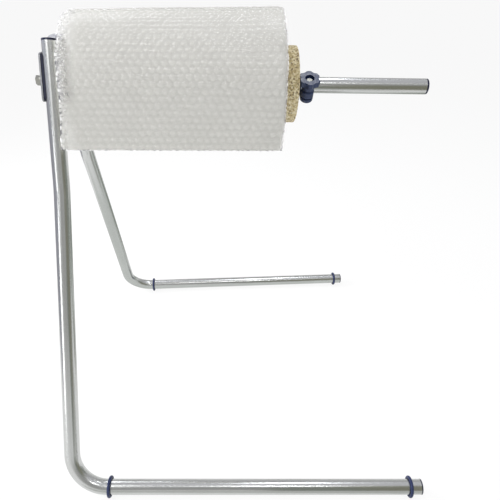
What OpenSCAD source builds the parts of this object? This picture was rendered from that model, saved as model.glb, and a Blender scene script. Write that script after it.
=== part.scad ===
// Bubble wrap dispenser: two bent tube legs carry a level spindle with a wound roll of
// bubble film on it, held by a chipboard end disc and a clamp collar with a star knob.
// Millimetres. +Z is up, +X runs along the spindle to its free end, the floor is Z = 0,
// and the origin is on the floor under the middle of the whole stand.

/* [Legs] */
// Outside diameter of the leg tube
leg_d = 25; // [20:0.5:30]
// Wall of the leg tube
leg_wall = 1.5; // [1:0.1:2.5]
// Distance between the two heel corners
foot_spread = 600; // [480:10:760]
// Length of a foot from its heel corner to the end of the tube
foot_len = 590; // [450:5:750]
// Angle by which each foot points outwards
toe_out = 2.2; // [0:0.1:5]
// Height of the top of a leg tube above the foot's centre line
leg_h = 657.5; // [640:2.5:760]
// Height of the knee above the foot's centre line
knee_h = 450; // [380:5:460]
// Slant of the leg above its knee, from upright
upper_slant = 18.4; // [12:0.1:22]
// Gap between the two tubes at their tops
top_gap = 5.2; // [2:0.2:12]
// Centre-line radius of the heel bend
heel_bend_r = 59; // [45:1:100]
// Centre-line radius of the knee bend
knee_bend_r = 150; // [80:5:260]
// Swelling of the tube where it is bent
bend_swell = 0.05; // [0.03:0.01:0.08]

/* [Foot rings] */
// Thickness of the rubber of a ring
ring_section = 5; // [3.5:0.25:8]
// Gap between the heel bend and the heel ring
heel_ring_gap = 1.5; // [1:0.5:60]
// Distance of the toe ring from the end of the foot tube
toe_ring_from_end = 18; // [10:1:60]
// Depth of the flat that each ring is pressed to by the floor
ring_flat = 0.5; // [0.2:0.1:1]

/* [Tube caps] */
// Height of a leg cap's rim above the tube
cap_rim_t = 3; // [2:0.25:6]
// Height of a foot plug's rim beyond the tube
plug_rim_t = 2; // [1:0.25:4]
// Length of a cap inside its tube
cap_insert = 16; // [10:1:24]
// Radial room between a cap and the bore of its tube
cap_clear = 0.1; // [0.05:0.05:0.3]
// Depth of the grooves between the fins of a cap
cap_fin_depth = 1.2; // [0.5:0.1:2]

/* [Top bracket] */
// Height of the clamp plates
plate_h = 67; // [60:1:90]
// Height of the plates' middle above the spindle's axis
plate_rise = 12.5; // [8:0.5:16]
// Thickness of a clamp plate
plate_t = 2.5; // [2:0.25:5]
// Radius of a clamp plate's corners
plate_corner_r = 6; // [3:0.5:10]
// Width of the plates beyond the centre lines of the legs
plate_edge = 9; // [7:0.5:14]
// Thickness of a saddle pad
saddle_t = 5.5; // [5:0.25:8]
// Depth to which a leg tube sits in a saddle pad
saddle_seat = 4.5; // [2:0.1:4.5]
// Room between a leg tube and its seat in a saddle pad
saddle_clear = 0.1; // [0.05:0.05:0.3]
// Margin of the saddle pads inside the outline of the plates
saddle_inset = 1; // [0:0.25:3]
// Thread diameter of the spindle bolt
bolt_d = 10; // [8:1:12]
// Width across the flats of the spindle bolt's head
bolt_flats = 16; // [13:1:19]
// Height of the spindle bolt's head
bolt_head_h = 6.4; // [5:0.2:8]
// Length of the spindle bolt inside the spindle's plug
bolt_grip = 26; // [16:1:34]
// Room round a bolt in plates, pads, legs and bush
bolt_clear = 0.4; // [0.25:0.05:1]
// Wall of the spacer bush round the spindle bolt
bush_wall = 3; // [2:0.25:6]
// Thread diameter of the bolts through the legs
leg_bolt_d = 8; // [6:1:10]
// Width across the flats of a leg bolt's head and nut
leg_bolt_flats = 13; // [10:1:14]
// Height of a leg bolt's head
leg_bolt_head_h = 5.5; // [4:0.25:7]
// Height above the spindle's axis at which a bolt crosses its leg
leg_bolt_rise = 8; // [4:0.5:12]
// Diameter of the washer under a leg bolt's head
leg_washer_d = 16.5; // [14:0.5:18]
// Thickness of the washer under a leg bolt's head
leg_washer_t = 2.5; // [1.5:0.25:3]
// Height of a leg bolt's nut
leg_nut_h = 5; // [4:0.25:5.5]
// Length of a leg bolt beyond its nut
leg_bolt_tail = 1.5; // [0.5:0.25:2]

/* [Spindle] */
// Outside diameter of the spindle tube
spindle_d = 25; // [20:0.5:30]
// Wall of the spindle tube
spindle_wall = 1.5; // [1:0.1:2.5]
// Length of the spindle tube from the inner clamp plate
spindle_len = 575; // [480:5:700]
// Distance of the spindle's axis below the tops of the legs
spindle_drop = 60.5; // [56:0.5:80]
// Length of the threaded plug inside the spindle
spindle_plug_len = 40; // [36:1:70]
// Radial room between the threaded plug and the spindle
spindle_plug_clear = 0.05; // [0.02:0.01:0.15]
// Rise of the spindle cap's dome
dome_rise = 2.5; // [1:0.25:5]
// Step by which the spindle cap's rim stays inside the tube's outside
dome_step = 0.2; // [0.1:0.05:0.6]
// Diameter of the guide washer at the inner end of the roll
guide_d = 52; // [40:1:80]
// Thickness of the guide washer
guide_t = 8.5; // [8:0.5:14]
// Room between the spindle and what slides or turns on it
spindle_clear = 0.3; // [0.2:0.05:0.6]
// Gap between the faces of pieces that turn side by side
end_gap = 0.5; // [0.3:0.1:1.5]

/* [Roll] */
// Outside diameter of the wound film
film_d = 220; // [150:1:260]
// Width of the film
film_w = 325; // [250:5:400]
// Step from one layer of film to the next
layer_step = 5; // [4:0.25:9]
// Gap between two layers of film
layer_gap = 0.5; // [0.45:0.05:0.9]
// Wall of the cardboard core
core_wall = 4; // [2:0.5:8]
// Gap between the core and the first layer of film
core_gap = 0.5; // [0.4:0.05:1]
// Angle round the spindle at which the film leaves the roll, 180 at the front
film_edge_at = 180; // [0:5:360]
// Length of the free end of the film that hangs from the roll
film_hang = 77; // [20:1:150]
// Length by which the core stands out of the film towards the end disc
core_over = 1; // [0:0.5:10]
// Distance between two bubbles of a row
bubble_pitch = 11.2; // [8:0.1:30]
// Height of the bubbles above the film between their rows
bubble_rise = 2.5; // [1:0.1:3]

/* [End disc] */
// Diameter of the chipboard end disc
disc_d = 118; // [90:1:200]
// Thickness of the end disc
disc_t = 22; // [12:0.5:30]
// Chamfer round the rim of the end disc
disc_chamfer = 0.8; // [0.3:0.1:2]

/* [Clamp collar] */
// Wall of the collar round the spindle
collar_wall = 4.5; // [3:0.25:7]
// Length of the collar along the spindle
collar_len = 28; // [22:0.5:36]
// Lean of the clamp screw towards the front, from upright
collar_lean = 30; // [0:1:90]
// Width of the slit in the collar
slit_w = 2.5; // [1.5:0.25:4]
// Radius of the collar's ears
ear_r = 10.5; // [8:0.25:13]
// Height of the upper ear from the middle of the slit
ear_h = 13; // [10:0.5:18]
// Height of the lower ear from the middle of the slit
low_ear_h = 8.5; // [8:0.5:18]
// Rounding of the ears' ends
ear_round = 3; // [1:0.25:5]
// Thread diameter of the clamp screw
screw_d = 8; // [6:1:10]
// Width across the flats of the screw's head
screw_flats = 13; // [10:1:15]
// Height of the screw's head, sunk in the lower ear
screw_head_h = 4; // [3:0.25:5]
// Room between the screw's head and its pocket
screw_pocket_clear = 0.2; // [0.1:0.05:0.4]
// Room round the screw in the ears
screw_clear = 0.3; // [0.2:0.05:0.6]
// Room between the clamp screw and the spindle's collar wall
screw_side_room = 3; // [1:0.25:6]

/* [Star knob] */
// Radius of the knob over its lobes
knob_r = 17; // [14:0.5:22]
// Number of lobes on the knob
knob_lobes = 6; // [5:1:8]
// Depth of the hollows between the lobes
knob_hollow = 3; // [1.5:0.1:4]
// Radius of the hollows between the lobes
knob_hollow_r = 10; // [5:0.25:14]
// Height of the lobed part of the knob
knob_h = 9; // [7:0.5:18]
// Height of the knob's stem
knob_stem_h = 10.5; // [4:0.5:14]
// Radius of the knob's stem
knob_stem_r = 10; // [8.25:0.25:12]
// Rounding of the knob's upper and lower edges
knob_round = 1.5; // [0.8:0.1:3]
// Radius of the recess in the top of the knob
recess_r = 7.3; // [5.5:0.1:9]
// Depth of the recess in the top of the knob
recess_depth = 5; // [3:0.25:8]
// Wall of the threaded insert in the knob
insert_wall = 1.5; // [1.25:0.25:3]
// Running room between the insert and the clamp screw
thread_clear = 0.08; // [0.03:0.01:0.1]
// Diameter of the washer under the knob
knob_washer_d = 16; // [14:0.5:20]
// Thickness of the washer under the knob
knob_washer_t = 1.6; // [1:0.1:2.5]
// Running gap between the washer and the knob
knob_gap = 0.1; // [0.05:0.05:0.3]
// Distance that the screw's end stands above the recess's floor
screw_stand = 1.5; // [0.5:0.25:3]

/* [Hidden] */
$fn = 96;
corner_fn = 32;
over = 1;
bend_lap = 0.5;

steel = [0.72, 0.73, 0.72];
navy = [0.16, 0.17, 0.28];
board = [0.74, 0.66, 0.46];
card = [0.66, 0.54, 0.38];
film = [0.86, 0.87, 0.86];

// Heights and the route of a leg
leg_r = leg_d / 2;
ring_r = leg_r + ring_section + cap_clear;
foot_z = ring_r - ring_flat;
spindle_h = leg_h - spindle_drop;
spindle_z = foot_z + spindle_h;
top_half = leg_r / cos(upper_slant) + top_gap / 2;
function leg_y(h) = top_half + (leg_h - h) * tan(upper_slant);
toe_dir = [cos(toe_out), -sin(toe_out), 0];
heel = [0, -foot_spread / 2, foot_z];
knee = [0, -leg_y(knee_h), foot_z + knee_h];
leg_top = [0, -top_half, foot_z + leg_h];
foot_end = heel + toe_dir * foot_len;
leg_path = [foot_end, heel, knee, leg_top];
leg_bends = [0, heel_bend_r, knee_bend_r, 0];

// The bracket's layers, from the legs outwards
saddle_in = leg_r - saddle_seat;
saddle_out = saddle_in + saddle_t;
plate_out = saddle_out + plate_t;
bolt_r = bolt_d / 2;
bolt_hole_r = bolt_r + bolt_clear;
leg_bolt_r = leg_bolt_d / 2;
leg_bolt_y = -leg_y(spindle_h + leg_bolt_rise);
leg_bolt_z = spindle_z + leg_bolt_rise;
leg_bolt_end = plate_out + leg_nut_h + leg_bolt_tail;

// Places along the spindle
spindle_r = spindle_d / 2;
spindle_end = plate_out + spindle_len;
guide_x = plate_out;
film_x = guide_x + guide_t + end_gap;
core_len = film_w + core_over;
disc_x = film_x + core_len + end_gap;
collar_x = disc_x + disc_t + end_gap;
screw_x = collar_x + knob_r + end_gap;

// Roll
core_r = spindle_r + spindle_clear + core_wall;
film_r = film_d / 2;
film_start_r = core_r + core_gap;
film_turns = (film_r + layer_gap - film_start_r) / layer_step - 1;
film_facets = 24;
film_steps = floor(film_turns * film_facets);
film_edge_turn = 360 * film_steps / film_facets;
film_band = layer_step - layer_gap;
row_step = bubble_pitch * sqrt(3) / 2;
bubble_rows = round(PI * film_d / row_step);
hang_rows = round(film_hang / row_step);
film_edge_r = film_start_r + layer_step * film_edge_turn / 360;

// Collar and knob, in the collar's own frame with the screw along +Z
collar_r = spindle_r + collar_wall;
screw_r = screw_d / 2;
screw_off = collar_r + screw_side_room + screw_r;
washer_z = ear_h;
stem_z = washer_z + knob_washer_t + knob_gap;
lobe_z = stem_z + knob_stem_h;
knob_top = lobe_z + knob_h;
recess_z = knob_top - recess_depth;
insert_r = screw_r + insert_wall;
screw_top = recess_z + screw_stand;

// The whole stand is centred between its bolt heads and its spindle cap
stand_min_x = -plate_out - max(bolt_head_h, leg_washer_t + leg_bolt_head_h);
stand_max_x = spindle_end + cap_rim_t + dome_rise;
stand_mid_x = (stand_min_x + stand_max_x) / 2;

module stand() {
    translate([-stand_mid_x, 0, 0]) children();
}

module rear() {
    mirror([0, 1, 0]) children();
}

// Puts a shape's own +Z along a direction at a point
module along(p, v) {
    translate(p) rotate([0, acos(v[2] / norm(v)), atan2(v[1], v[0])]) children();
}

// Puts a shape's own +Z along the spindle, at a distance from the leg plane
module on_spindle(x) {
    translate([x, 0, spindle_z]) rotate([0, 90, 0]) children();
}

// Extrudes an outline in the YZ plane along +X
module sheet_x(x, t) {
    translate([x, 0, 0]) rotate([90, 0, 90]) linear_extrude(height = t) children();
}

function unit(v) = v / norm(v);
function run_dir(path, i) = unit(path[i + 1] - path[i]);
function bend_angle(path, i) = acos(run_dir(path, i - 1) * run_dir(path, i));
function bend_cut(path, bends, i) = bends[i] == 0 ? 0 : bends[i] * tan(bend_angle(path, i) / 2);

// A round bar bent along a path: straight runs that lap a little into true arcs
module bent_bar(path, bends, r, extra) {
    last = len(path) - 1;
    for (i = [0 : last - 1]) {
        u = run_dir(path, i);
        start = path[i] + u * (bend_cut(path, bends, i) - (i == 0 ? extra : bend_lap));
        end = path[i + 1] - u * (bend_cut(path, bends, i + 1) - (i == last - 1 ? extra : bend_lap));
        along(start, u) cylinder(h = norm(end - start), r = r);
    }
    for (i = [1 : last - 1]) {
        u = run_dir(path, i - 1);
        v = run_dir(path, i);
        a = bend_angle(path, i);
        n = unit(v - u * cos(a));
        c = path[i] - u * bend_cut(path, bends, i) + n * bends[i];
        w = cross(-n, u);
        multmatrix([[-n[0], u[0], w[0], c[0]],
                    [-n[1], u[1], w[1], c[1]],
                    [-n[2], u[2], w[2], c[2]],
                    [0, 0, 0, 1]])
            rotate_extrude(angle = a) translate([bends[i], 0]) circle(r = r + bend_swell);
    }
}

heel_ring_at = bend_cut(leg_path, leg_bends, 1) + heel_ring_gap + ring_section / 2;

// Puts a shape's own +Z along +X at the place where a bolt crosses the front leg
module on_leg_bolt(x) {
    translate([x, leg_bolt_y, leg_bolt_z]) rotate([0, 90, 0]) children();
}

module leg_tube() {
    difference() {
        bent_bar(leg_path, leg_bends, leg_r, 0);
        bent_bar(leg_path, leg_bends, leg_r - leg_wall, over);
        on_leg_bolt(-leg_d) cylinder(h = 2 * leg_d, r = leg_bolt_r + bolt_clear);
    }
}

// A finned insert below Z = 0 with a rim above it
module tube_insert(bore_r, rim_r, rim_t) {
    fit_r = bore_r - cap_clear;
    core = fit_r - cap_fin_depth;
    fin = cap_insert / 6;
    cylinder(h = rim_t, r = rim_r);
    translate([0, 0, -cap_insert]) cylinder(h = cap_insert, r = core);
    for (k = [0 : 2]) {
        translate([0, 0, -cap_insert + (2 * k + 1) * fin - fin / 2]) cylinder(h = fin, r = fit_r);
    }
}

// Outline of a ring's rubber, pressed flat where it meets the floor
module foot_ring(at) {
    difference() {
        along(heel + toe_dir * at, toe_dir) rotate_extrude()
            translate([ring_r - ring_section / 2, 0]) circle(d = ring_section);
        translate([0, -foot_spread, -foot_spread])
            cube([foot_spread + foot_len, 2 * foot_spread, foot_spread]);
    }
}

// Outline of the bracket: it follows both legs, with round corners
module bracket_outline(inset) {
    half_h = plate_h / 2 - inset - plate_corner_r;
    hull() {
        for (side = [-1, 1]) {
            for (h = [-half_h, half_h]) {
                edge = leg_y(spindle_h + plate_rise + h) + plate_edge - inset - plate_corner_r;
                translate([side * edge, spindle_z + plate_rise + h])
                    circle(r = plate_corner_r, $fn = corner_fn);
            }
        }
    }
}

// Holes for the spindle bolt and both leg bolts through a layer of the bracket
module bolt_holes(x, t) {
    on_spindle(x - over) cylinder(h = t + 2 * over, r = bolt_hole_r);
    for (side = [0, 1]) {
        mirror([0, side, 0]) on_leg_bolt(x - over)
            cylinder(h = t + 2 * over, r = leg_bolt_r + bolt_clear);
    }
}

module clamp_plate(x) {
    difference() {
        sheet_x(x, plate_t) bracket_outline(0);
        bolt_holes(x, plate_t);
    }
}

// Straight bars through both legs, for the seats in the saddle pads
module leg_seats() {
    for (side = [0, 1]) {
        mirror([0, side, 0])
            bent_bar([knee, leg_top], [0, 0], leg_r + saddle_clear, over);
    }
}

module saddle_pad(x) {
    difference() {
        sheet_x(x, saddle_t) bracket_outline(saddle_inset);
        leg_seats();
        bolt_holes(x, saddle_t);
    }
}

module hex_bar(flats, h) {
    cylinder(h = h, r = flats / 2 / cos(30), $fn = 6);
}

// One unbroken band of film wound outwards from the core
function spiral(r, k) = (r + layer_step * k / film_facets)
    * [cos(360 * k / film_facets), sin(360 * k / film_facets)];
film_inner = [for (k = [0 : film_steps]) spiral(film_start_r, k)];
film_outer = [for (k = [0 : film_steps - film_facets]) spiral(film_start_r + film_band, k)];

// Outside of the outer turn: each row of bubbles stands out as a ridge
function ridge_point(j) = let (a = film_edge_turn - 360 + 180 * j / bubble_rows)
    (film_start_r + film_band + layer_step * a / 360 - (j % 2) * bubble_rise) * [cos(a), sin(a)];
film_ridges = [for (j = [1 : 2 * bubble_rows]) ridge_point(j)];

// The free end goes straight on from the outer turn, with the same ridges
function hang_point(r, along) = r * [cos(film_edge_turn), sin(film_edge_turn)]
    + along * [-sin(film_edge_turn), cos(film_edge_turn)];
hang_ridges = [for (j = [1 : 2 * hang_rows])
    hang_point(film_edge_r + film_band - (j % 2) * bubble_rise, j * row_step / 2)];
hang_end = hang_point(film_edge_r, hang_rows * row_step);
function turned(points) = [for (k = [len(points) - 1 : -1 : 0]) points[k]];

// Least gap between two turns: from the corners of one to the faces of the next
function face_gap(p, a, b) = abs(cross(b - a, p - a)) / norm(b - a);
least_turn_gap = min([for (k = [0 : film_steps - film_facets - 1])
    face_gap(film_outer[k], film_inner[k + film_facets], film_inner[k + film_facets + 1])]);
echo(least_turn_gap = least_turn_gap);

module film_spiral() {
    rotate(film_edge_at - film_edge_turn)
        polygon(concat(film_inner, [hang_end], turned(hang_ridges), turned(film_ridges), turned(film_outer)));
}

// A round bar whose two ends are rounded off
module round_ended(z0, z1, r, round) {
    translate([0, 0, z0]) rotate_extrude() {
        square([r - round, z1 - z0]);
        translate([0, round]) square([r, z1 - z0 - 2 * round]);
        for (z = [round, z1 - z0 - round]) {
            translate([r - round, z]) circle(r = round);
        }
    }
}

// Places a shape of the collar: the screw axis leans forward over the spindle
module on_collar(x) {
    translate([x, 0, spindle_z]) rotate([collar_lean, 0, 0]) children();
}

module on_screw() {
    stand() on_collar(screw_x) translate([0, -screw_off, 0]) children();
}

module front_leg_tube() {
    color(steel) stand() leg_tube();
}

module rear_leg_tube() {
    color(steel) stand() rear() leg_tube();
}

module leg_cap() {
    along(leg_top, leg_top - knee) tube_insert(leg_r - leg_wall, leg_r, cap_rim_t);
}

module front_leg_cap() {
    color(navy) stand() leg_cap();
}

module rear_leg_cap() {
    color(navy) stand() rear() leg_cap();
}

module foot_plug() {
    along(foot_end, toe_dir) tube_insert(leg_r - leg_wall, leg_r, plug_rim_t);
}

module front_foot_plug() {
    color(navy) stand() foot_plug();
}

module rear_foot_plug() {
    color(navy) stand() rear() foot_plug();
}

module front_heel_ring() {
    color(navy) stand() foot_ring(heel_ring_at);
}

module front_toe_ring() {
    color(navy) stand() foot_ring(foot_len - toe_ring_from_end);
}

module rear_heel_ring() {
    color(navy) stand() rear() foot_ring(heel_ring_at);
}

module rear_toe_ring() {
    color(navy) stand() rear() foot_ring(foot_len - toe_ring_from_end);
}

module outer_clamp_plate() {
    color(steel) stand() clamp_plate(-plate_out);
}

module inner_clamp_plate() {
    color(steel) stand() clamp_plate(saddle_out);
}

module outer_saddle() {
    color(navy) stand() saddle_pad(-saddle_out);
}

module inner_saddle() {
    color(navy) stand() saddle_pad(saddle_in);
}

module spacer_bush() {
    color(steel) stand() on_spindle(-saddle_in) difference() {
        cylinder(h = 2 * saddle_in, r = bolt_hole_r + bush_wall);
        translate([0, 0, -over]) cylinder(h = 2 * saddle_in + 2 * over, r = bolt_hole_r);
    }
}

module spindle_bolt() {
    color(steel) stand() {
        on_spindle(-plate_out - bolt_head_h) hex_bar(bolt_flats, bolt_head_h);
        on_spindle(-plate_out) cylinder(h = 2 * plate_out + bolt_grip, r = bolt_r);
    }
}

module leg_bolt() {
    under_head = -plate_out - leg_washer_t;
    on_leg_bolt(under_head - leg_bolt_head_h) hex_bar(leg_bolt_flats, leg_bolt_head_h);
    on_leg_bolt(under_head) cylinder(h = leg_bolt_end - under_head, r = leg_bolt_r);
}

module bolt_washer() {
    on_leg_bolt(-plate_out - leg_washer_t) difference() {
        cylinder(h = leg_washer_t, d = leg_washer_d);
        translate([0, 0, -over]) cylinder(h = leg_washer_t + 2 * over, r = leg_bolt_r + bolt_clear);
    }
}

module leg_nut() {
    on_leg_bolt(plate_out) difference() {
        hex_bar(leg_bolt_flats, leg_nut_h);
        translate([0, 0, -over]) cylinder(h = leg_nut_h + 2 * over, r = leg_bolt_r + thread_clear);
    }
}

module front_leg_bolt() {
    color(steel) stand() leg_bolt();
}

module front_bolt_washer() {
    color(steel) stand() bolt_washer();
}

module front_leg_nut() {
    color(steel) stand() leg_nut();
}

module rear_leg_bolt() {
    color(steel) stand() rear() leg_bolt();
}

module rear_bolt_washer() {
    color(steel) stand() rear() bolt_washer();
}

module rear_leg_nut() {
    color(steel) stand() rear() leg_nut();
}

module spindle_tube() {
    color(steel) stand() on_spindle(plate_out) difference() {
        cylinder(h = spindle_len, r = spindle_r);
        translate([0, 0, -over]) cylinder(h = spindle_len + 2 * over, r = spindle_r - spindle_wall);
    }
}

module spindle_plug() {
    color(steel) stand() on_spindle(plate_out) difference() {
        cylinder(h = spindle_plug_len, r = spindle_r - spindle_wall - spindle_plug_clear);
        translate([0, 0, -over]) cylinder(h = spindle_plug_len + 2 * over, r = bolt_r + thread_clear);
    }
}

// Finned insert with a low dome over its rim
module spindle_cap() {
    rim_r = spindle_r - dome_step;
    dome_r = (rim_r * rim_r + dome_rise * dome_rise) / (2 * dome_rise);
    color(navy) stand() on_spindle(spindle_end) {
        tube_insert(spindle_r - spindle_wall, rim_r, cap_rim_t);
        translate([0, 0, cap_rim_t]) intersection() {
            translate([0, 0, dome_rise - dome_r]) sphere(r = dome_r);
            cylinder(h = 2 * dome_rise, r = rim_r);
        }
    }
}

module guide_washer() {
    color(navy) stand() on_spindle(guide_x) difference() {
        cylinder(h = guide_t, d = guide_d);
        translate([0, 0, -over]) cylinder(h = guide_t + 2 * over, r = spindle_r + spindle_clear);
    }
}

module roll_core() {
    color(card) stand() on_spindle(film_x) difference() {
        cylinder(h = core_len, r = core_r);
        translate([0, 0, -over]) cylinder(h = core_len + 2 * over, r = spindle_r + spindle_clear);
    }
}

module bubble_film() {
    color(film) stand() translate([0, 0, spindle_z]) sheet_x(film_x, film_w) film_spiral();
}

module end_disc() {
    color(board) stand() on_spindle(disc_x) difference() {
        rotate_extrude() polygon([
            [0, 0], [disc_d / 2 - disc_chamfer, 0], [disc_d / 2, disc_chamfer],
            [disc_d / 2, disc_t - disc_chamfer], [disc_d / 2 - disc_chamfer, disc_t], [0, disc_t]]);
        translate([0, 0, -over]) cylinder(h = disc_t + 2 * over, r = spindle_r + spindle_clear);
    }
}

// Split collar: a ring round the spindle and two ears that the screw draws together
module collar_clamp() {
    ear_block_h = ear_h + low_ear_h - 2 * ear_round;
    screw_at = screw_x - collar_x;
    color(navy) stand() on_collar(collar_x) difference() {
        union() {
            rotate([0, 90, 0]) cylinder(h = collar_len, r = collar_r);
            translate([screw_at, -screw_off, 0]) round_ended(-low_ear_h, ear_h, ear_r, ear_round);
            translate([screw_at - ear_r, -screw_off, ear_round - low_ear_h])
                cube([2 * ear_r, screw_off, ear_block_h]);
        }
        translate([-over, 0, 0]) rotate([0, 90, 0])
            cylinder(h = collar_len + screw_at + 2 * over, r = spindle_r + thread_clear);
        translate([-over, -screw_off - ear_r - over, -slit_w / 2])
            cube([collar_len + screw_at + 2 * over, screw_off + ear_r + over, slit_w]);
        translate([screw_at, -screw_off, -low_ear_h - over])
            cylinder(h = low_ear_h + ear_h + 2 * over, r = screw_r + screw_clear);
        translate([screw_at, -screw_off, -low_ear_h - over])
            hex_bar(screw_flats + 2 * screw_pocket_clear, screw_head_h + over);
    }
}

module clamp_screw() {
    color(steel) on_screw() {
        translate([0, 0, -low_ear_h]) hex_bar(screw_flats, screw_head_h);
        translate([0, 0, -low_ear_h]) cylinder(h = low_ear_h + screw_top, r = screw_r);
    }
}

module knob_washer() {
    color(steel) on_screw() translate([0, 0, washer_z]) difference() {
        cylinder(h = knob_washer_t, d = knob_washer_d);
        translate([0, 0, -over]) cylinder(h = knob_washer_t + 2 * over, r = screw_r + screw_clear);
    }
}

module star_knob() {
    color(navy) on_screw() difference() {
        union() {
            translate([0, 0, stem_z]) cylinder(h = knob_stem_h + over, r = knob_stem_r);
            round_ended(lobe_z, knob_top, knob_r, knob_round);
        }
        for (k = [0 : knob_lobes - 1]) {
            rotate(360 * k / knob_lobes)
                translate([knob_r + knob_hollow_r - knob_hollow, 0, lobe_z - over])
                    cylinder(h = knob_h + 2 * over, r = knob_hollow_r);
        }
        translate([0, 0, recess_z]) cylinder(h = recess_depth + over, r = recess_r);
        translate([0, 0, stem_z - over]) cylinder(h = knob_top, r = insert_r);
    }
}

module knob_insert() {
    color(steel) on_screw() translate([0, 0, stem_z]) difference() {
        cylinder(h = recess_z - stem_z, r = insert_r);
        translate([0, 0, -over])
            cylinder(h = recess_z - stem_z + 2 * over, r = screw_r + thread_clear);
    }
}

front_leg_tube();
rear_leg_tube();
front_leg_cap();
rear_leg_cap();
front_foot_plug();
rear_foot_plug();
front_heel_ring();
front_toe_ring();
rear_heel_ring();
rear_toe_ring();
outer_clamp_plate();
outer_saddle();
inner_saddle();
inner_clamp_plate();
spacer_bush();
spindle_bolt();
front_leg_bolt();
front_bolt_washer();
front_leg_nut();
rear_leg_bolt();
rear_bolt_washer();
rear_leg_nut();
spindle_tube();
spindle_plug();
spindle_cap();
guide_washer();
roll_core();
bubble_film();
end_disc();
collar_clamp();
clamp_screw();
knob_washer();
star_knob();
knob_insert();
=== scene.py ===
import bpy
import math
import numpy as np
from mathutils import Matrix, Vector


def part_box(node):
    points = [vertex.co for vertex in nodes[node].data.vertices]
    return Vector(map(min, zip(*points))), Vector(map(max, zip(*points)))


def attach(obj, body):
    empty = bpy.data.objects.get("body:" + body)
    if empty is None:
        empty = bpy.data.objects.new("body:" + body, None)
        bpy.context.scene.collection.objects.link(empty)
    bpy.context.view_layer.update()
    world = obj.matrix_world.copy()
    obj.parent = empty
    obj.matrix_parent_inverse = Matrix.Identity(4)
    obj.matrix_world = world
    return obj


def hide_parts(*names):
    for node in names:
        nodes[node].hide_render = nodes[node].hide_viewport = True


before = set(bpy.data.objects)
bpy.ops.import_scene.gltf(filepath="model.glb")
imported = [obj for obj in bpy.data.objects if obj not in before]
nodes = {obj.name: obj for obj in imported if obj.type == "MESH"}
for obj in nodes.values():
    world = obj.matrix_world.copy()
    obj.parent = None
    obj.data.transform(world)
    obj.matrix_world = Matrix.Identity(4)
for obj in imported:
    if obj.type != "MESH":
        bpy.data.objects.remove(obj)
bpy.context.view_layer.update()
print("frame loaded:", len(nodes), "nodes")


# node helpers: every material is a small tree on Object coordinates and the piece's own attributes

def put(tree, kind, links=(), **values):
    n = tree.nodes.new("ShaderNode" + kind)
    for key, value in values.items():
        if hasattr(n, key):
            setattr(n, key, value)
        else:
            n.inputs[key.replace("_", " ")].default_value = value
    for socket, source in links:
        tree.links.new(source, n.inputs[socket])
    return n


def newTree(name):
    mat = bpy.data.materials.new(name)
    mat.use_nodes = True
    tree = mat.node_tree
    tree.nodes.clear()
    skin = put(tree, "BsdfPrincipled")
    put(tree, "OutputMaterial", [("Surface", skin.outputs[0])])
    return mat, tree, skin


def feed(tree, skin, **values):
    # sets a shader's inputs by name, each from a number, a colour or another node
    for key, value in values.items():
        socket = skin.inputs[key.replace("_", " ")]
        if isinstance(value, bpy.types.NodeSocket):
            tree.links.new(value, socket)
        else:
            socket.default_value = value


def showInstead(tree, shader):
    tree.links.new(shader.outputs[0], tree.get_output_node("ALL").inputs["Surface"])


def coords(tree, stretch=(1, 1, 1), turn=(0, 0, 0)):
    spot = put(tree, "TexCoord").outputs["Object"]
    return put(tree, "Mapping", [("Vector", spot)], Scale=stretch, Rotation=turn).outputs[0]


def noise(tree, pattern, stretch=(1, 1, 1)):
    scale, detail, rough = pattern
    return put(tree, "TexNoise", [("Vector", coords(tree, stretch))], Scale=scale, Detail=detail,
               Roughness=rough).outputs["Fac"]


def pointValue(tree, name):
    return put(tree, "Attribute", attribute_name=name).outputs["Fac"]


def reckon(tree, how, first, second):
    return put(tree, "Math", [(0, first), (1, second)], operation=how).outputs[0]


def ramp(tree, fac, stops):
    n = put(tree, "ValToRGB", [("Fac", fac)])
    band = n.color_ramp
    while len(band.elements) < len(stops):
        band.elements.new(0.5)  # its place is set below
    for element, (place, colour) in zip(band.elements, stops):
        element.position = place
        element.color = (*colour, 1)
    return n.outputs["Color"]


def span(tree, value, low, high, outLow, outHigh):
    return put(tree, "MapRange", [("Value", value)], From_Min=low, From_Max=high,
               To_Min=outLow, To_Max=outHigh).outputs["Result"]


def blendColour(tree, fac, first, second, mode="MIX"):
    n = put(tree, "Mix", data_type="RGBA", blend_type=mode)
    for socket, value in ((0, fac), (6, first), (7, second)):  # 6, 7 and output 2 are the node's colours
        if isinstance(value, bpy.types.NodeSocket):
            tree.links.new(value, n.inputs[socket])
        elif isinstance(value, tuple):
            n.inputs[socket].default_value = (*value, 1)
        else:
            n.inputs[socket].default_value = value
    return n.outputs[2]


def bump(tree, skin, height, depth, strength):
    n = put(tree, "Bump", [("Height", height)], Strength=strength, Distance=depth)
    tree.links.new(n.outputs[0], skin.inputs["Normal"])


def toned(tone, colour):
    return tuple(t * c for t, c in zip(tone, colour))


# finishes: a noise is given as its scale, detail and roughness, a span as its low and high and, where that is fixed,
# what they become

zincLook = {"pale": (0.605, 0.615, 0.61), "dull": (0.555, 0.565, 0.555), "shine": (0.24, 0.27),
            "cloud": (14.0, 2.0, 0.5), "patches": (0.3, 0.7),
            "grain": (900.0, 2.0, 0.5), "grainDepth": 0.00001, "grainShow": 0.25}


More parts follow.
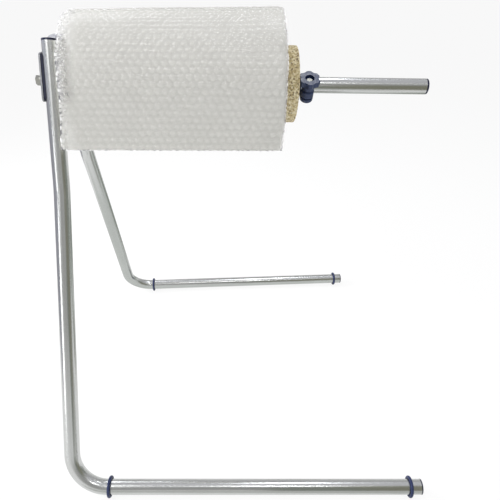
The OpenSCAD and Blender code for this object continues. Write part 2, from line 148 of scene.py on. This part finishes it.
def zincFinish(name, tone=(1.0, 1.0, 1.0), rougher=0.0):
    mat, tree, skin = newTree(name)
    cloud = noise(tree, zincLook["cloud"])
    pale, dull = (toned(tone, zincLook[key]) for key in ("pale", "dull"))
    low, high = (r + rougher for r in zincLook["shine"])
    feed(tree, skin, Base_Color=blendColour(tree, span(tree, cloud, *zincLook["patches"], 0.0, 1.0), dull, pale),
         Metallic=1.0, Roughness=span(tree, cloud, *zincLook["patches"], high, low))
    if rougher:  # stamped and turned pieces have a fine grain that the drawn tube lacks
        bump(tree, skin, noise(tree, zincLook["grain"]), zincLook["grainDepth"], zincLook["grainShow"])
    return mat


navyLook = {"cap": (0.006, 0.008, 0.030), "worn": (0.014, 0.017, 0.052), "gloss": 0.45,
            "cloud": (140.0, 4.0, 0.65), "wear": (0.45, 0.8, 0.0, 0.6), "patches": (0.3, 0.7),
            "shineSpread": (-0.06, 0.08), "grain": (1600.0, 2.0, 0.5), "grainShow": 0.6}


def navyFinish(name, shine, grainDepth, tone=(1.0, 1.0, 1.0)):
    mat, tree, skin = newTree(name)
    cloud = noise(tree, navyLook["cloud"])
    cap, worn = (toned(tone, navyLook[key]) for key in ("cap", "worn"))
    low, high = (shine + s for s in navyLook["shineSpread"])
    feed(tree, skin, Base_Color=blendColour(tree, span(tree, cloud, *navyLook["wear"]), cap, worn),
         Specular_IOR_Level=navyLook["gloss"], Roughness=span(tree, cloud, *navyLook["patches"], low, high))
    bump(tree, skin, noise(tree, navyLook["grain"]), grainDepth, navyLook["grainShow"])
    return mat


chipLook = {"dark": (0.40, 0.30, 0.145), "glue": (0.53, 0.43, 0.22), "chip": (0.64, 0.54, 0.32),
            "pale": (0.82, 0.75, 0.54), "bark": (0.15, 0.095, 0.040),
            "shares": ((0.0, "dark"), (0.22, "glue"), (0.5, "chip"), (0.82, "pale"), (1.0, "glue")),
            "chipScale": 420.0, "barkScale": 560.0, "barkShare": (0.84, 0.90, 0.0, 0.85),
            "bend": (90.0, 3.0, 0.5), "bendBy": 0.004, "rough": 0.82, "depth": 0.00035, "show": 0.7}


def chipFinish(name):
    # chips are the cells of a bent pattern, each in its own shade, with dark flecks of bark
    mat, tree, skin = newTree(name)
    bent = noise(tree, chipLook["bend"])
    shift = put(tree, "CombineXYZ", [("X", bent), ("Y", bent), ("Z", bent)]).outputs[0]
    shift = put(tree, "VectorMath", [(0, shift)], operation="SCALE", Scale=chipLook["bendBy"]).outputs[0]
    where = put(tree, "VectorMath", [(0, coords(tree)), (1, shift)], operation="ADD").outputs[0]
    cells = [put(tree, "TexVoronoi", [("Vector", where)], Scale=chipLook[key], Randomness=1.0).outputs["Color"]
             for key in ("chipScale", "barkScale")]
    chips, bark = (put(tree, "SeparateColor", [("Color", cell)]).outputs for cell in cells)
    base = ramp(tree, chips[0], [(place, chipLook[key]) for place, key in chipLook["shares"]])
    base = blendColour(tree, span(tree, bark[1], *chipLook["barkShare"]), base, chipLook["bark"])
    feed(tree, skin, Base_Color=base, Roughness=chipLook["rough"])
    bump(tree, skin, blendColour(tree, 0.5, chips[1], bark[1]), chipLook["depth"], chipLook["show"])
    return mat


cardLook = {"dark": (0.36, 0.25, 0.15), "pale": (0.52, 0.39, 0.25), "seam": (0.25, 0.17, 0.10),
            "seamTilt": (0, 0.5, 0), "seamScale": 22.0, "seamWaver": 0.6, "seamShare": (0.0, 0.12, 0.5, 0.0),
            "fibre": (220.0, 4.0, 0.7), "fibreStretch": (1, 6, 6), "rough": 0.85, "depth": 0.0002, "show": 0.5}


def cardFinish(name):
    mat, tree, skin = newTree(name)
    wrap = put(tree, "TexWave", [("Vector", coords(tree, turn=cardLook["seamTilt"]))], Scale=cardLook["seamScale"],
               Distortion=cardLook["seamWaver"]).outputs["Fac"]
    fibre = noise(tree, cardLook["fibre"], cardLook["fibreStretch"])
    base = blendColour(tree, fibre, cardLook["dark"], cardLook["pale"])
    base = blendColour(tree, span(tree, wrap, *cardLook["seamShare"]), base, cardLook["seam"])
    feed(tree, skin, Base_Color=base, Roughness=cardLook["rough"])
    bump(tree, skin, fibre, cardLook["depth"], cardLook["show"])
    return mat


filmLook = {"milk": (0.605, 0.60, 0.567), "haze": (0.67, 0.665, 0.632), "cloud": (38.0, 4.0, 0.6), "gloss": 1.78,
            # the seam and top colours multiply the film: painted shade between bubbles and painted light on their tops
            "paintedSeamShade": (0.90, 0.90, 0.905), "paintedCrownLight": (1.05, 1.05, 1.05), "crownFrom": 0.7,
            "clear": 0.36, "shine": 0.05, "cutEdge": 0.9, "edgeClear": 0.11, "edgeShine": 0.10, "edgeCut": 0.5,
            # shade and white are the colours of painted dark glints and painted white highlights along cut edges
            "shade": (0.03, 0.03, 0.06), "white": (0.95, 0.95, 0.97), "crackle": (200.0, 2.0, 0.7),
            "paintedDarkGlints": (0.43, 0.46, 1.0, 0.0), "paintedWhiteGlints": (0.52, 0.55, 0.0, 1.0), "thinShare": 0.3,
            "crease": (420.0, 3.0, 0.6), "creaseStretch": (1.0, 1.6, 1.6), "creased": (0.35, 0.7), "creaseDull": 0.12,
            "creaseDepth": 0.00025, "creaseShow": 0.5}


def filmFinish(name, opacity, shine, cutEdge):
    # clear film with a faint haze. The attribute named cut is 1 along a cut edge, where the film is painted
    # with white highlights for light caught by the cut bubbles and with painted dark glints for shade and
    # the dark parts behind seen through them; the one named cover says how much of the haze is left towards
    # the ends, and the one named dome is how far up a bubble a place is, which sets painted light on each
    # bubble's top and painted shade on the welded film round it
    mat, tree, skin = newTree(name)
    cut, cover, dome = (pointValue(tree, key) for key in ("cut", "cover", "dome"))
    crackle = noise(tree, filmLook["crackle"])
    dark, white = (span(tree, crackle, *filmLook[key]) for key in ("paintedDarkGlints", "paintedWhiteGlints"))
    milk = blendColour(tree, noise(tree, filmLook["cloud"]), filmLook["milk"], filmLook["haze"])
    # painted shade between bubbles and painted light on their tops, by how far up a bubble each place is
    bubbles = ramp(tree, dome, [(0.0, filmLook["paintedSeamShade"]), (filmLook["crownFrom"], filmLook["paintedCrownLight"])])
    milk = blendColour(tree, 1.0, milk, bubbles, "MULTIPLY")
    # painted highlights: white glints along cut edges
    milk = blendColour(tree, reckon(tree, "MULTIPLY", cut, white), milk, filmLook["white"])
    # painted dark glints along cut edges, for shade and the dark parts behind
    milk = blendColour(tree, reckon(tree, "MULTIPLY", cut, dark), milk, filmLook["shade"])
    crease = noise(tree, filmLook["crease"], filmLook["creaseStretch"])
    dull = span(tree, crease, *filmLook["creased"], shine, shine + filmLook["creaseDull"])
    broken = reckon(tree, "MULTIPLY", cut, reckon(tree, "MAXIMUM", dark, white))
    clear = span(tree, cover, 0.0, 1.0, filmLook["thinShare"] * opacity, opacity)
    feed(tree, skin, Base_Color=milk, Roughness=dull, IOR=filmLook["gloss"],
         Alpha=put(tree, "Mix", [(0, broken), (2, clear)], B=cutEdge).outputs[0])
    bump(tree, skin, crease, filmLook["creaseDepth"], filmLook["creaseShow"])
    return mat


milkLook = {"cloud": (30.0, 4.0, 0.6), "rough": 0.38, "patches": (0.35, 0.65, -0.30, 0.30),
            "firm": (0.30, 0.60, 0.0, 1.0)}


def milkFinish(name, faded):
    # wound film below the outer layer: milky, as clear as the attribute named cover says where little film lies behind
    mat, tree, skin = newTree(name)
    milk = blendColour(tree, noise(tree, milkLook["cloud"]), filmLook["milk"], filmLook["haze"])
    feed(tree, skin, Base_Color=milk, Roughness=milkLook["rough"])
    if faded:
        cover = pointValue(tree, "cover")
        patchy = reckon(tree, "ADD", cover, span(tree, noise(tree, filmLook["crackle"]), *milkLook["patches"]))
        firm = span(tree, cover, *milkLook["firm"])
        feed(tree, skin, Alpha=put(tree, "Mix", [(0, firm), (2, patchy), (3, cover)]).outputs[0])
    return mat


# mesh helpers

def gridPiece(name, points, closeRows=False, closeCols=False, smooth=True, **values):
    # a surface from a grid of points: each cell of the rows by columns array becomes one face
    rows, cols = points.shape[:2]
    index = np.arange(rows * cols).reshape(rows, cols)
    if closeRows:
        index = np.vstack([index, index[:1]])
    if closeCols:
        index = np.hstack([index, index[:, :1]])
    quads = np.stack([index[:-1, :-1], index[:-1, 1:], index[1:, 1:], index[1:, :-1]], -1).reshape(-1, 4)
    mesh = bpy.data.meshes.new(name)
    mesh.from_pydata(points.reshape(-1, 3), [], quads)
    for key, value in values.items():  # one number at each point, for a material to read
        layer = mesh.attributes.new(key, "FLOAT", "POINT")
        layer.data.foreach_set("value", np.broadcast_to(value, (rows, cols)).astype(np.float32).ravel())
    mesh.polygons.foreach_set("use_smooth", np.full(len(mesh.polygons), smooth))
    mesh.update()
    piece = bpy.data.objects.new(name, mesh)
    bpy.context.scene.collection.objects.link(piece)
    return piece


def dress(piece, mat, body, slot, *stoodFor):
    piece.data.materials.clear()
    piece.data.materials.append(mat)
    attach(piece, body)
    if stoodFor:
        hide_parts(*stoodFor)


def paint(mat, *names):
    for n in names:
        nodes[n].data.materials.clear()
        nodes[n].data.materials.append(mat)


# wound film: an outer layer of bubbles over a milky body, a free end that hangs at the front, and at both ends of the
# roll the cut edges of all its turns

filmLow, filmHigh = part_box("bubble_film")
spindleLow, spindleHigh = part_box("spindle_tube")
filmRoll = {"left": filmLow.x, "right": filmHigh.x, "axisHeight": (spindleLow.z + spindleHigh.z) / 2,
            "outerRadius": 0.10993, "edgeAngle": math.pi, "layerStep": 0.005, "lastTurn": 17.2, "hang": 0.0752,
            "crestDepth": 0.0004, "seed": 41}
bubbleRows = {"pitch": 0.0112, "rows": 71, "radius": 0.0050, "height": 0.0021, "steep": 2.4, "flat": 0.7,
              "swell": (0.75, 1.0), "stray": 0.0004, "kinds": (997, 64)}
# how far the loose winding swells and lifts off the true spiral, at left and right
filmSlack = {"swell": (-0.0036, 0.0005), "lift": (-0.0006, 0.0052)}
# how far the hanging end flares and skews, at left and right, and the power of its length that it does so by
hangSlack = {"flare": (0.0060, 0.0005), "skew": (-0.0078, -0.0036), "power": 1.4}
# slow waves: their height and count, and for both ways the first wave and the step to the next
filmWaves = {"height": 0.0005, "count": 6, "along": (17, 9), "round": (9, 5)}
# ragged edges: their depth, and each wave round the roll with its share
filmRagged = {"depth": 0.0012, "waves": ((15, 1.0), (41, 0.6), (113, 0.5))}
layerBase = filmRoll["crestDepth"] + bubbleRows["height"]

rng = np.random.default_rng(filmRoll["seed"])
bubbleSwell = rng.uniform(*bubbleRows["swell"], bubbleRows["kinds"])
bubbleShift = rng.uniform(-bubbleRows["stray"], bubbleRows["stray"], (*bubbleRows["kinds"], 2))
ripple = rng.uniform(0, 2 * math.pi, (filmWaves["count"], 2))


def across(x, pair):
    return pair[0] + (pair[1] - pair[0]) * (x - filmRoll["left"]) / (filmRoll["right"] - filmRoll["left"])


def onRoll(x, turns, depth):
    # a place on the film: the spiral's radius at that turn with its slack, less a depth, about the spindle; before the
    # first turn it is on the free end, straight down from the front of the roll, flared and skewed with the length hung
    wound = np.maximum(turns, 0)
    hung = np.maximum(-turns, 0) * 2 * math.pi * filmRoll["outerRadius"]
    loose = (hung / filmRoll["hang"]) ** hangSlack["power"]
    angle = filmRoll["edgeAngle"] - 2 * math.pi * wound
    slack = across(x, filmSlack["swell"]) + across(x, filmSlack["lift"]) * np.sin(angle)
    radius = filmRoll["outerRadius"] - filmRoll["layerStep"] * wound - depth
    radius = radius + slack * (1 - wound / filmRoll["lastTurn"])
    radius = radius + across(x, hangSlack["flare"]) * loose
    side = x + across(x, hangSlack["skew"]) * loose + 0 * radius
    return np.stack([side, radius * np.cos(angle), filmRoll["axisHeight"] + radius * np.sin(angle) - hung], -1)


def bubbleRise(x, turns):
    # height of the film at a place: over the nearest bubble's middle a flat-topped dome, and 0 between bubbles
    pitch, rows = bubbleRows["pitch"], bubbleRows["rows"]
    rowStep = 2 * math.pi * (filmRoll["outerRadius"] - filmRoll["layerStep"] * np.maximum(turns, 0)) / rows
    rise = np.zeros(np.broadcast(x, turns).shape)
    for later in (0, 1):
        row = np.floor(turns * rows).astype(int) + later
        lag = (row % 2) * pitch / 2
        col = np.round((x - filmRoll["left"] - lag) / pitch).astype(int)
        kind = row % bubbleRows["kinds"][0], col % bubbleRows["kinds"][1]
        shift = bubbleShift[kind]
        away = np.hypot(x - filmRoll["left"] - lag - col * pitch - shift[..., 0],
                        (turns * rows - row) * rowStep - shift[..., 1]) / bubbleRows["radius"]
        dome = np.clip(1 - away ** bubbleRows["steep"], 0, 1) ** bubbleRows["flat"]
        rise = np.maximum(rise, dome * bubbleSwell[kind])
    return rise * bubbleRows["height"]


def looseness(x, turns):
    # slow waves of the wound film, a sum of sines along both ways
    (along, alongStep), (around, aroundStep) = filmWaves["along"], filmWaves["round"]
    waves = sum(np.sin(x * (along + alongStep * k) + a) * np.sin(turns * (around + aroundStep * k) + b) / (k + 1)
                for k, (a, b) in enumerate(ripple))
    return filmWaves["height"] * waves


def raggedEdge(turns, phase):
    # how far the edge strays at a turn: a sum of sines round the roll, of the ragged depth at most
    waves = sum(share * np.sin(turns * wave + (k + 1) * phase) for k, (wave, share) in enumerate(filmRagged["waves"]))
    return filmRagged["depth"] * waves / sum(share for wave, share in filmRagged["waves"])


# how a layer ends: its room inside the solid, how its bubbles flatten and the film drops, how its haze fades at both
# ends and on the free end, and how far in from each edge its painted glints reach
layerEnds = {"room": 0.0012, "phases": (0.4, 2.1), "flatZone": 0.006, "flatShare": 0.3, "drop": 0.0014,
             "dropZone": 0.007, "fadeLeft": 0.027, "fadeRight": 0.010, "fadeStart": 0.4, "fadePower": 1.5,
             "thinnest": 0.08, "freeTurns": 0.02, "freeWidth": 0.07, "freePower": 0.5, "freeCover": 0.8,
             "glintZone": 0.0048, "rightSooner": 4, "tipSooner": 8}
outerLayer = {"lastTurn": 1.03, "perPitch": 7, "perRow": 6, "bubbles": True, "under": 0.0}
secondLayer = {"lastTurn": 1.0, "perPitch": 2, "perRow": 2, "bubbles": False, "under": 0.0006}


def filmLayer(name, lastTurn, perPitch, perRow, bubbles, under):
    # one layer: a depth under the spiral, less the rise of the bubbles and the slow waves at each place
    perTurn = bubbleRows["rows"] * perRow
    firstTurn = -filmRoll["hang"] / (2 * math.pi * filmRoll["outerRadius"])
    turns = np.linspace(firstTurn, lastTurn, int(round((lastTurn - firstTurn) * perTurn)) + 1)[:, None]
    count = int(round((filmRoll["right"] - filmRoll["left"]) / bubbleRows["pitch"] * perPitch))
    share = np.linspace(0, 1, count + 1)[None, :]
    left = filmRoll["left"] + layerEnds["room"] + raggedEdge(turns, layerEnds["phases"][0])
    right = filmRoll["right"] - layerEnds["room"] + raggedEdge(turns, layerEnds["phases"][1])
    x = left + (right - left) * share
    inside = np.minimum(x - left, right - x)
    whole = np.clip(inside / layerEnds["flatZone"], 0, 1)
    whole = layerEnds["flatShare"] + (1 - layerEnds["flatShare"]) * whole * whole * (3 - 2 * whole)  # eased
    dome = bubbleRise(x, turns) * whole if bubbles else 0.0 * x
    below = layerBase + under - looseness(x, turns) + layerEnds["drop"] * np.exp(-inside / layerEnds["dropZone"]) - dome
    ends = np.minimum((x - left) / layerEnds["fadeLeft"], layerEnds["fadeStart"] + (right - x) / layerEnds["fadeRight"])
    ends = layerEnds["thinnest"] + (1 - layerEnds["thinnest"]) * np.clip(ends, 0, 1) ** layerEnds["fadePower"]
    free = np.clip(1 - (x - left) / layerEnds["freeWidth"], 0, 1) ** layerEnds["freePower"]
    free = np.clip(-turns / layerEnds["freeTurns"], 0, 1) * free
    cover = (1 - free) * ends + free * (layerEnds["freeCover"] + (1 - layerEnds["freeCover"]) * ends)
    tip = np.abs(turns - firstTurn) * 2 * math.pi * filmRoll["outerRadius"]
    edge = np.minimum(np.minimum(x - left, layerEnds["rightSooner"] * (right - x)), layerEnds["tipSooner"] * tip)
    # dome, each place's share of a bubble's height, also sets the painted light and shade in the film's colour
    return gridPiece(name, onRoll(x, turns, below), cover=cover, cut=np.exp(-edge / layerEnds["glintZone"]),
                     dome=dome / bubbleRows["height"])


# strips of cut edge: points inward from the end, how the turns drift, how their bubbles flatten, how far in their
# painted glints reach, their cover, and their share of painted bubble light and shade
edgeStrips = {"perRow": 5, "inward": (0.0, 0.0012, 0.003, 0.006, 0.010, 0.014), "room": 0.0012, "drift": 0.0010,
              "driftWave": 2.4, "driftPhase": 1.0, "raggedShare": 0.6, "raggedPhase": 1.3,
              "flatZone": 0.006, "flatShare": 0.35, "glintZone": 0.0022, "cover": 1.0, "dome": 0.5}


def filmEdges(name, end):
    # cut edges of the inner turns: strips of the same spiral film, a little way in from one end
    perTurn = bubbleRows["rows"] * edgeStrips["perRow"]
    turns = np.arange(perTurn, filmRoll["lastTurn"] * perTurn)[:, None] / perTurn
    inward = np.array(edgeStrips["inward"])[None, :]
    drift = edgeStrips["drift"] * np.sin(turns * edgeStrips["driftWave"] + edgeStrips["driftPhase"])
    drift = drift + raggedEdge(turns, edgeStrips["raggedPhase"]) * edgeStrips["raggedShare"]
    drift = edgeStrips["room"] + np.abs(drift)
    x = filmRoll["left"] + drift + inward if end == "left" else filmRoll["right"] - drift - inward
    whole = np.clip(inward / edgeStrips["flatZone"], 0, 1)
    whole = edgeStrips["flatShare"] + (1 - edgeStrips["flatShare"]) * whole
    points = onRoll(x, turns, layerBase - bubbleRise(x, turns) * whole)
    cut = np.exp(-inward / edgeStrips["glintZone"])
    if end == "right":
        points, cut = points[:, ::-1], cut[:, ::-1]
    return gridPiece(name, points, cover=edgeStrips["cover"], dome=edgeStrips["dome"], cut=cut)


# milky body: how far in from both ends it starts, its depth under the layers, its bore and its points around
filmBody = {"inLeft": 0.031, "inRight": 0.012, "under": 0.0024, "bore": 0.0180, "around": 144}


def filmCore(name):
    # milky body of the roll: a closed ring whose outside follows the spiral one depth down
    left, right = filmRoll["left"] + filmBody["inLeft"], filmRoll["right"] - filmBody["inRight"]
    turns = np.linspace(1, 0, filmBody["around"], endpoint=False)[None, :]
    outside = np.array([left, (left + right) / 2, right])[:, None]
    skin = onRoll(outside + 0 * turns, turns, layerBase + filmBody["under"])
    angle = filmRoll["edgeAngle"] - 2 * math.pi * turns
    deep, high = filmBody["bore"] * np.cos(angle), filmRoll["axisHeight"] + filmBody["bore"] * np.sin(angle)
    bore = [np.stack([x + 0 * angle, deep, high], -1) for x in (left, right)]
    return gridPiece(name, np.concatenate([bore[0], skin, bore[1]], 0), closeRows=True, closeCols=True)


dress(filmLayer("film_outer", **outerLayer),
      filmFinish("film_outer", filmLook["clear"], filmLook["shine"], filmLook["cutEdge"]),
      "roll", "bubble_film", "bubble_film")
dress(filmLayer("film_second", **secondLayer), milkFinish("film_second", True), "roll", "bubble_film")
edgeFilm = filmFinish("film_edge", filmLook["edgeClear"], filmLook["edgeShine"], filmLook["edgeCut"])
dress(filmEdges("film_edges_left", "left"), edgeFilm, "roll", "bubble_film")
dress(filmEdges("film_edges_right", "right"), edgeFilm, "roll", "bubble_film")
dress(filmCore("film_body"), milkFinish("film_body", False), "roll", "bubble_film")
print("film wound")


# finishes on the CAD pieces

paint(zincFinish("zinc_tube"), "front_leg_tube", "rear_leg_tube", "spindle_tube")
paint(zincFinish("zinc_plate", tone=(0.50, 0.50, 0.53), rougher=0.20), "outer_clamp_plate", "inner_clamp_plate")
paint(zincFinish("zinc_fastener", tone=(0.52, 0.51, 0.47), rougher=0.16), "spacer_bush", "spindle_bolt",
      "front_leg_bolt", "front_bolt_washer", "front_leg_nut", "rear_leg_bolt", "rear_bolt_washer", "rear_leg_nut",
      "spindle_plug", "clamp_screw", "knob_washer", "knob_insert")
paint(navyFinish("navy_cap", shine=0.20, grainDepth=0.00003), "front_leg_cap", "rear_leg_cap", "front_foot_plug",
      "rear_foot_plug", "spindle_cap", "guide_washer")
paint(navyFinish("navy_rubber", shine=0.50, grainDepth=0.00008, tone=(2.2, 2.8, 2.6)), "front_heel_ring",
      "front_toe_ring", "rear_heel_ring", "rear_toe_ring")
paint(navyFinish("navy_pad", shine=0.55, grainDepth=0.00008), "outer_saddle", "inner_saddle")
paint(navyFinish("navy_clamp", shine=0.32, grainDepth=0.00005, tone=(2.1, 3.2, 2.7)), "collar_clamp", "star_knob")
paint(chipFinish("chipboard"), "end_disc")
paint(cardFinish("card_core"), "roll_core")
print("finishes on")


# studio: a pale floor, a soft sky, soft lamps, cards and mats for the metal to mirror, and the camera of the photograph

floorLook = {"size": 60.0, "colour": (0.95, 0.95, 0.945), "white": 0.885, "rough": 0.9, "specular": 0.1}


def floorPlane():
    # seen directly, or in metal and through film, the floor is mostly its own white, and the rest keeps the shadow
    size = floorLook["size"]
    corners = np.array([[(-size, -size, 0), (size, -size, 0)], [(-size, size, 0), (size, size, 0)]], float)
    floor = gridPiece("floor", corners, smooth=False)
    mat, tree, skin = newTree("floor_pale")
    feed(tree, skin, Base_Color=(*floorLook["colour"], 1), Roughness=floorLook["rough"],
         Specular_IOR_Level=floorLook["specular"])
    path = put(tree, "LightPath").outputs
    seen = reckon(tree, "MAXIMUM", path["Is Camera Ray"], path["Is Glossy Ray"])
    seen = reckon(tree, "MAXIMUM", seen, path["Is Transmission Ray"])
    share = span(tree, seen, 0.0, 1.0, 0.0, floorLook["white"])
    white = put(tree, "Emission", Color=(1, 1, 1, 1), Strength=1.0)
    showInstead(tree, put(tree, "MixShader", [(0, share), (1, skin.outputs[0]), (2, white.outputs[0])]))
    floor.data.materials.append(mat)


# colours of the sky by height, from front to back and from left to right, and the height at which the last two are full
skyLook = {"strength": 1.0, "sidesFull": 0.16,
           "height": [(0.0, (0.95, 0.95, 0.95)), (0.22, (0.70, 0.70, 0.70)), (0.8, (0.44, 0.44, 0.45))],
           "back": [(0.0, (0.66, 0.66, 0.64)), (0.45, (1.0, 1.0, 1.0))],
           "right": [(0.0, (0.86, 0.88, 1.0)), (0.35, (1.0, 1.0, 1.0))]}


def skyLight():
    # bright at the horizon and dimmer overhead; above the horizon dimmer again in front, with a cool left side
    world = bpy.data.worlds.new("studio")
    bpy.context.scene.world = world
    world.use_nodes = True
    tree = world.node_tree
    tree.nodes.clear()
    sky = put(tree, "Background", Strength=skyLook["strength"])
    put(tree, "OutputWorld", [("Surface", sky.outputs[0])])
    way = put(tree, "SeparateXYZ", [("Vector", put(tree, "TexCoord").outputs["Generated"])]).outputs
    shade = ramp(tree, way[2], skyLook["height"])
    back = ramp(tree, span(tree, way[1], -1.0, 1.0, 0.0, 1.0), skyLook["back"])
    right = ramp(tree, span(tree, way[0], -1.0, 1.0, 0.0, 1.0), skyLook["right"])
    above = span(tree, way[2], 0.0, skyLook["sidesFull"], 0.0, 1.0)
    sides = blendColour(tree, above, (1.0, 1.0, 1.0), blendColour(tree, 1.0, back, right, "MULTIPLY"))
    feed(tree, sky, Color=blendColour(tree, 1.0, shade, sides, "MULTIPLY"))


# standing cards: name, plan of both ends, height of the foot, height of the top at both ends, and colour
standingCards = [("green_card", (0.05, -0.78), (0.3, -0.715), 0, (0.5, 0.62), (0.255, 0.275, 0.24)),
                 ("olive_card", (0.3, -0.715), (1.2, -0.48), 0, (0.84, 0.84), (0.27, 0.265, 0.205)),
                 ("lilac_card", (-0.95, -0.58), (-0.95, 0.8), 0, (0.7, 0.7), (0.42, 0.42, 0.47)),
                 ("right_card", (1.2, -0.48), (1.2, 0.5), 0.1, (0.9, 0.9), (0.285, 0.305, 0.27))]
# level cards: name, span along the spindle, span across it, height and colour
# the first level card is a painted shadow: a dark card under the roll that metal mirrors in place of the roll's shadow
# on the floor
levelCards = [("roll_shadow_mat", (0.02, 0.3), (-0.1, 0.15), 0.0005, (0.30, 0.30, 0.27)),
              ("far_mat", (-0.65, 0.5), (-0.02, 0.42), 0.0004, (0.80, 0.82, 0.80)),
              ("near_mat", (-0.3, 0.5), (-0.75, -0.345), 0.0004, (0.66, 0.67, 0.65)),
              ("back_mat", (-0.2, 1.4), (0.42, 1.0), 0.0004, (0.33, 0.36, 0.32)),
              ("right_mat", (0.5, 1.4), (-0.02, 0.42), 0.0004, (0.40, 0.43, 0.39)),
              ("ceiling_card", (-1.4, 2.2), (1.8, -1.4), 2.6, (0.66, 0.66, 0.69))]


def studioCard(name, corners, colour):
    # a flat card that only reflections see, between four corners in two rows
    card = gridPiece(name, np.array(corners, float), smooth=False)
    mat, tree = newTree(name)[:2]
    showInstead(tree, put(tree, "Emission", Color=(*colour, 1), Strength=1.0))
    card.data.materials.append(mat)
    card.visible_camera = card.visible_diffuse = card.visible_shadow = card.visible_transmission = False


# soft lamps: name, place, aim, width and height, power, tint, and whether metal mirrors it
softLamps = [("key", (-1.45, -1.1, 2.1), (-0.05, 0, 0.45), (1.0, 1.0), 17.0, (1, 1, 1), True),
             ("top", (0.33, 0.55, 2.3), (0.2, 0.1, 0.4), (0.34, 0.7), 6.0, (0.94, 0.96, 1.0), True),
             ("over", (0.15, 0.3, 2.4), (0, 0, 0.5), (1.5, 1.5), 7.0, (1, 1, 1), False),
             ("side", (-1.4, 0.25, 0.9), (-0.25, 0, 0.6), (0.8, 0.8), 26.0, (1, 1, 1), False),
             ("back", (-0.87, 1.34, 2.05), (-0.2, 0, 0.65), (0.7, 0.5), 6.0, (0.95, 0.96, 1.0), True),
             ("fill", (1.2, -1.5, 1.3), (0.1, 0, 0.5), (1.0, 1.0), 3.5, (1, 1, 1), False),
             ("tall_strip", (-1.25, -0.98, 0.43), (-0.28, -0.15, 0.43), (0.22, 0.86), 2.5, (1, 1, 1), True),
             ("high_strip", (-0.85, -1.2, 1.25), (-0.2, 0, 0.6), (0.25, 0.7), 0.7, (1, 1, 1), True),
             ("glint", (0.15, -1.15, 1.75), (0, 0, 0.65), (0.5, 0.14), 2.6, (1, 1, 1), True),
             ("wide_strip", (0.35, -1.15, 1.68), (0.1, 0.0, 0.6), (1.8, 0.14), 0.8, (1, 1, 1), True)]


def softLamp(name, at, aim, size, power, tint, mirrored):
    lamp = bpy.data.lights.new(name, "AREA")
    lamp.shape = "RECTANGLE"
    lamp.size, lamp.size_y = size
    lamp.energy = power
    lamp.color = tint
    holder = bpy.data.objects.new(name, lamp)
    bpy.context.scene.collection.objects.link(holder)
    holder.visible_glossy = mirrored
    holder.location = at
    holder.rotation_euler = (Vector(aim) - Vector(at)).to_track_quat("-Z", "Y").to_euler()


# camera fitted to the photograph: place, angles and lens in pixels of the 500 pixel frame
photoView = {"at": (-0.03075, -0.79575, 0.76685), "down": 30.79, "turn": 3.80, "roll": 1.50, "focal": 470.0,
             "lift": 4.8, "pixels": 500.0, "sensor": 36.0, "clip": (0.01, 60.0)}


def photoCamera():
    down, turn, roll = (math.radians(photoView[k]) for k in ("down", "turn", "roll"))
    ahead = Vector((math.sin(turn) * math.cos(down), math.cos(turn) * math.cos(down), -math.sin(down)))
    right = Vector((math.cos(turn), -math.sin(turn), 0))
    up = right.cross(ahead)
    rolledRight = right * math.cos(roll) + up * math.sin(roll)
    rolledUp = up * math.cos(roll) - right * math.sin(roll)
    lens = bpy.data.cameras.new("camera")
    lens.sensor_width = photoView["sensor"]
    lens.lens = photoView["focal"] / photoView["pixels"] * photoView["sensor"]
    lens.shift_y = photoView["lift"] / photoView["pixels"]
    lens.clip_start, lens.clip_end = photoView["clip"]
    camera = bpy.data.objects.new("camera", lens)
    bpy.context.scene.collection.objects.link(camera)
    place = Matrix((rolledRight, rolledUp, -ahead)).transposed().to_4x4()
    place.translation = Vector(photoView["at"])
    camera.matrix_world = place
    bpy.context.scene.camera = camera


floorPlane()
skyLight()
for name, (x0, y0), (x1, y1), foot, (top0, top1), colour in standingCards:
    studioCard(name, [[(x0, y0, foot), (x1, y1, foot)], [(x0, y0, top0), (x1, y1, top1)]], colour)
for name, (x0, x1), (y0, y1), high, colour in levelCards:
    studioCard(name, [[(x0, y0, high), (x1, y0, high)], [(x0, y1, high), (x1, y1, high)]], colour)
for lamp in softLamps:
    softLamp(*lamp)
photoCamera()
bpy.context.scene.view_settings.view_transform = "Standard"
print("studio set")
